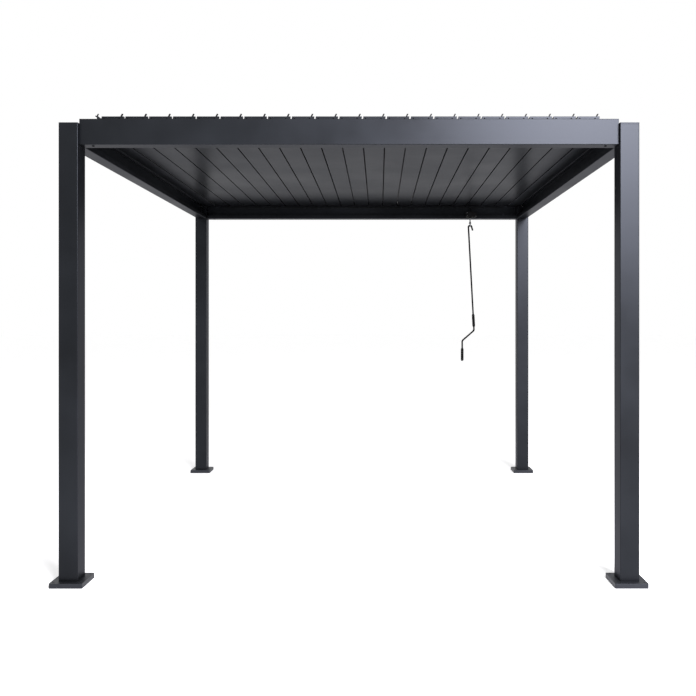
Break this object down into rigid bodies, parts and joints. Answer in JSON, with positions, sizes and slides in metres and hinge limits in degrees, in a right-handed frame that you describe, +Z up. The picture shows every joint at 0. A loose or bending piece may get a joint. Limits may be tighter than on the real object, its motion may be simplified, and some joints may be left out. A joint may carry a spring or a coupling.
{
  "type": "louvred-roof metal gazebo",
  "caption": "Free-standing flat-roofed metal gazebo: square posts on base plates, gutter beams, tilting louvre blades and a hanging crank",
  "frame": {"origin": "on the floor at the centre of the plan", "axes": "+X to the right seen from the front, +Y to the back, +Z up"},
  "size_m": [3.072, 3.072, 2.458],
  "materials": {
    "post_coat": "fine matt anthracite powder coat on extruded aluminium",
    "beam_coat": "fine matt anthracite powder coat on extruded aluminium",
    "louvre_coat": "fine matt anthracite powder coat on extruded aluminium",
    "bush_plastic": "black moulded nylon",
    "gearbox_casing": "black moulded casing",
    "bar_coat": "black coat on flat steel bar",
    "zinc_steel": "bright zinc plate",
    "crank_coat": "black powder coat on steel rod",
    "grip_plastic": "black moulded grip"
  },
  "bodies": {
    "frame": {"front_left_post": "post_coat", "front_right_post": "post_coat", "back_left_post": "post_coat", "back_right_post": "post_coat", "base_plates": "post_coat", "post_caps": "post_coat", "front_beam": "beam_coat", "back_beam": "beam_coat", "left_beam": "beam_coat", "right_beam": "beam_coat", "left_flashing": "beam_coat", "right_flashing": "beam_coat", "front_bushes": "bush_plastic", "back_bushes": "bush_plastic", "gearbox": "gearbox_casing"},
    "louvre_01": {"louvre_01": "louvre_coat"},
    "louvre_02": {"louvre_02": "louvre_coat"},
    "louvre_03": {"louvre_03": "louvre_coat"},
    "louvre_04": {"louvre_04": "louvre_coat"},
    "louvre_05": {"louvre_05": "louvre_coat"},
    "louvre_06": {"louvre_06": "louvre_coat"},
    "louvre_07": {"louvre_07": "louvre_coat"},
    "louvre_08": {"louvre_08": "louvre_coat"},
    "louvre_09": {"louvre_09": "louvre_coat"},
    "louvre_10": {"louvre_10": "louvre_coat"},
    "louvre_11": {"louvre_11": "louvre_coat"},
    "louvre_12": {"louvre_12": "louvre_coat"},
    "louvre_13": {"louvre_13": "louvre_coat"},
    "louvre_14": {"louvre_14": "louvre_coat"},
    "louvre_15": {"louvre_15": "louvre_coat"},
    "louvre_16": {"louvre_16": "louvre_coat"},
    "louvre_17": {"louvre_17": "louvre_coat"},
    "louvre_18": {"louvre_18": "louvre_coat"},
    "louvre_19": {"louvre_19": "louvre_coat"},
    "louvre_20": {"louvre_20": "louvre_coat"},
    "louvre_21": {"louvre_21": "louvre_coat"},
    "link_bar": {"link_bar": "bar_coat"},
    "drive_lever": {"drive_lever": "zinc_steel"},
    "drive_eye": {"drive_eye": "zinc_steel"},
    "crank_rod": {"crank_rod": "crank_coat"},
    "upper_grip": {"upper_grip": "grip_plastic"},
    "lower_grip": {"lower_grip": "grip_plastic"}
  },
  "joints": [
    {"name": "louvre_01_tilt", "type": "hinge", "parent": "frame", "child": "louvre_01", "pos_m": [-1.25, 0, 2.407], "axis": [0, -1, 0], "range_deg": [0, 90]},
    {"name": "louvre_02_tilt", "type": "hinge", "parent": "frame", "child": "louvre_02", "pos_m": [-1.125, 0, 2.407], "axis": [0, -1, 0], "range_deg": [0, 90]},
    {"name": "louvre_03_tilt", "type": "hinge", "parent": "frame", "child": "louvre_03", "pos_m": [-1, 0, 2.407], "axis": [0, -1, 0], "range_deg": [0, 90]},
    {"name": "louvre_04_tilt", "type": "hinge", "parent": "frame", "child": "louvre_04", "pos_m": [-0.875, 0, 2.407], "axis": [0, -1, 0], "range_deg": [0, 90]},
    {"name": "louvre_05_tilt", "type": "hinge", "parent": "frame", "child": "louvre_05", "pos_m": [-0.75, 0, 2.407], "axis": [0, -1, 0], "range_deg": [0, 90]},
    {"name": "louvre_06_tilt", "type": "hinge", "parent": "frame", "child": "louvre_06", "pos_m": [-0.625, 0, 2.407], "axis": [0, -1, 0], "range_deg": [0, 90]},
    {"name": "louvre_07_tilt", "type": "hinge", "parent": "frame", "child": "louvre_07", "pos_m": [-0.5, 0, 2.407], "axis": [0, -1, 0], "range_deg": [0, 90]},
    {"name": "louvre_08_tilt", "type": "hinge", "parent": "frame", "child": "louvre_08", "pos_m": [-0.375, 0, 2.407], "axis": [0, -1, 0], "range_deg": [0, 90]},
    {"name": "louvre_09_tilt", "type": "hinge", "parent": "frame", "child": "louvre_09", "pos_m": [-0.25, 0, 2.407], "axis": [0, -1, 0], "range_deg": [0, 90]},
    {"name": "louvre_10_tilt", "type": "hinge", "parent": "frame", "child": "louvre_10", "pos_m": [-0.125, 0, 2.407], "axis": [0, -1, 0], "range_deg": [0, 90]},
    {"name": "louvre_11_tilt", "type": "hinge", "parent": "frame", "child": "louvre_11", "pos_m": [0, 0, 2.407], "axis": [0, -1, 0], "range_deg": [0, 90]},
    {"name": "louvre_12_tilt", "type": "hinge", "parent": "frame", "child": "louvre_12", "pos_m": [0.125, 0, 2.407], "axis": [0, -1, 0], "range_deg": [0, 90]},
    {"name": "louvre_13_tilt", "type": "hinge", "parent": "frame", "child": "louvre_13", "pos_m": [0.25, 0, 2.407], "axis": [0, -1, 0], "range_deg": [0, 90]},
    {"name": "louvre_14_tilt", "type": "hinge", "parent": "frame", "child": "louvre_14", "pos_m": [0.375, 0, 2.407], "axis": [0, -1, 0], "range_deg": [0, 90]},
    {"name": "louvre_15_tilt", "type": "hinge", "parent": "frame", "child": "louvre_15", "pos_m": [0.5, 0, 2.407], "axis": [0, -1, 0], "range_deg": [0, 90]},
    {"name": "louvre_16_tilt", "type": "hinge", "parent": "frame", "child": "louvre_16", "pos_m": [0.625, 0, 2.407], "axis": [0, -1, 0], "range_deg": [0, 90]},
    {"name": "louvre_17_tilt", "type": "hinge", "parent": "frame", "child": "louvre_17", "pos_m": [0.75, 0, 2.407], "axis": [0, -1, 0], "range_deg": [0, 90]},
    {"name": "louvre_18_tilt", "type": "hinge", "parent": "frame", "child": "louvre_18", "pos_m": [0.875, 0, 2.407], "axis": [0, -1, 0], "range_deg": [0, 90]},
    {"name": "louvre_19_tilt", "type": "hinge", "parent": "frame", "child": "louvre_19", "pos_m": [1, 0, 2.407], "axis": [0, -1, 0], "range_deg": [0, 90]},
    {"name": "louvre_20_tilt", "type": "hinge", "parent": "frame", "child": "louvre_20", "pos_m": [1.125, 0, 2.407], "axis": [0, -1, 0], "range_deg": [0, 90]},
    {"name": "louvre_21_tilt", "type": "hinge", "parent": "frame", "child": "louvre_21", "pos_m": [1.25, 0, 2.407], "axis": [0, -1, 0], "range_deg": [0, 90]},
    {"name": "link_bar_swing", "type": "hinge", "parent": "louvre_19", "child": "link_bar", "pos_m": [0.98303, 1.4295, 2.39003], "axis": [0, -1, 0], "range_deg": [-90, 0]},
    {"name": "drive_lever_turn", "type": "hinge", "parent": "frame", "child": "drive_lever", "pos_m": [1.017, 1.41, 2.327], "axis": [0, -1, 0], "range_deg": [0, 90]},
    {"name": "drive_eye_turn", "type": "hinge", "parent": "frame", "child": "drive_eye", "pos_m": [0.971, 1.372, 2.228], "axis": [0, 0, 1], "range_deg": [0, 1170]},
    {"name": "crank_swing", "type": "hinge", "parent": "drive_eye", "child": "crank_rod", "pos_m": [0.971, 1.372, 2.208], "axis": [0, -1, 0], "range_deg": [-30, 30]},
    {"name": "upper_grip_spin", "type": "hinge", "parent": "crank_rod", "child": "upper_grip", "pos_m": [1.00165, 1.372, 1.36867], "axis": [-0.0539, 0, 0.9985], "continuous": true},
    {"name": "lower_grip_spin", "type": "hinge", "parent": "crank_rod", "child": "lower_grip", "pos_m": [0.9005, 1.372, 1.06258], "axis": [0, 0, 1], "continuous": true}
  ],
  "couplings": [
    {"joint": "louvre_01_tilt", "follows": "louvre_19_tilt", "ratio": 1},
    {"joint": "louvre_02_tilt", "follows": "louvre_19_tilt", "ratio": 1},
    {"joint": "louvre_03_tilt", "follows": "louvre_19_tilt", "ratio": 1},
    {"joint": "louvre_04_tilt", "follows": "louvre_19_tilt", "ratio": 1},
    {"joint": "louvre_05_tilt", "follows": "louvre_19_tilt", "ratio": 1},
    {"joint": "louvre_06_tilt", "follows": "louvre_19_tilt", "ratio": 1},
    {"joint": "louvre_07_tilt", "follows": "louvre_19_tilt", "ratio": 1},
    {"joint": "louvre_08_tilt", "follows": "louvre_19_tilt", "ratio": 1},
    {"joint": "louvre_09_tilt", "follows": "louvre_19_tilt", "ratio": 1},
    {"joint": "louvre_10_tilt", "follows": "louvre_19_tilt", "ratio": 1},
    {"joint": "louvre_11_tilt", "follows": "louvre_19_tilt", "ratio": 1},
    {"joint": "louvre_12_tilt", "follows": "louvre_19_tilt", "ratio": 1},
    {"joint": "louvre_13_tilt", "follows": "louvre_19_tilt", "ratio": 1},
    {"joint": "louvre_14_tilt", "follows": "louvre_19_tilt", "ratio": 1},
    {"joint": "louvre_15_tilt", "follows": "louvre_19_tilt", "ratio": 1},
    {"joint": "louvre_16_tilt", "follows": "louvre_19_tilt", "ratio": 1},
    {"joint": "louvre_17_tilt", "follows": "louvre_19_tilt", "ratio": 1},
    {"joint": "louvre_18_tilt", "follows": "louvre_19_tilt", "ratio": 1},
    {"joint": "louvre_20_tilt", "follows": "louvre_19_tilt", "ratio": 1},
    {"joint": "louvre_21_tilt", "follows": "louvre_19_tilt", "ratio": 1},
    {"joint": "link_bar_swing", "follows": "louvre_19_tilt", "ratio": -1},
    {"joint": "drive_lever_turn", "follows": "louvre_19_tilt", "ratio": 1},
    {"joint": "drive_eye_turn", "follows": "louvre_19_tilt", "ratio": 13}
  ]
}
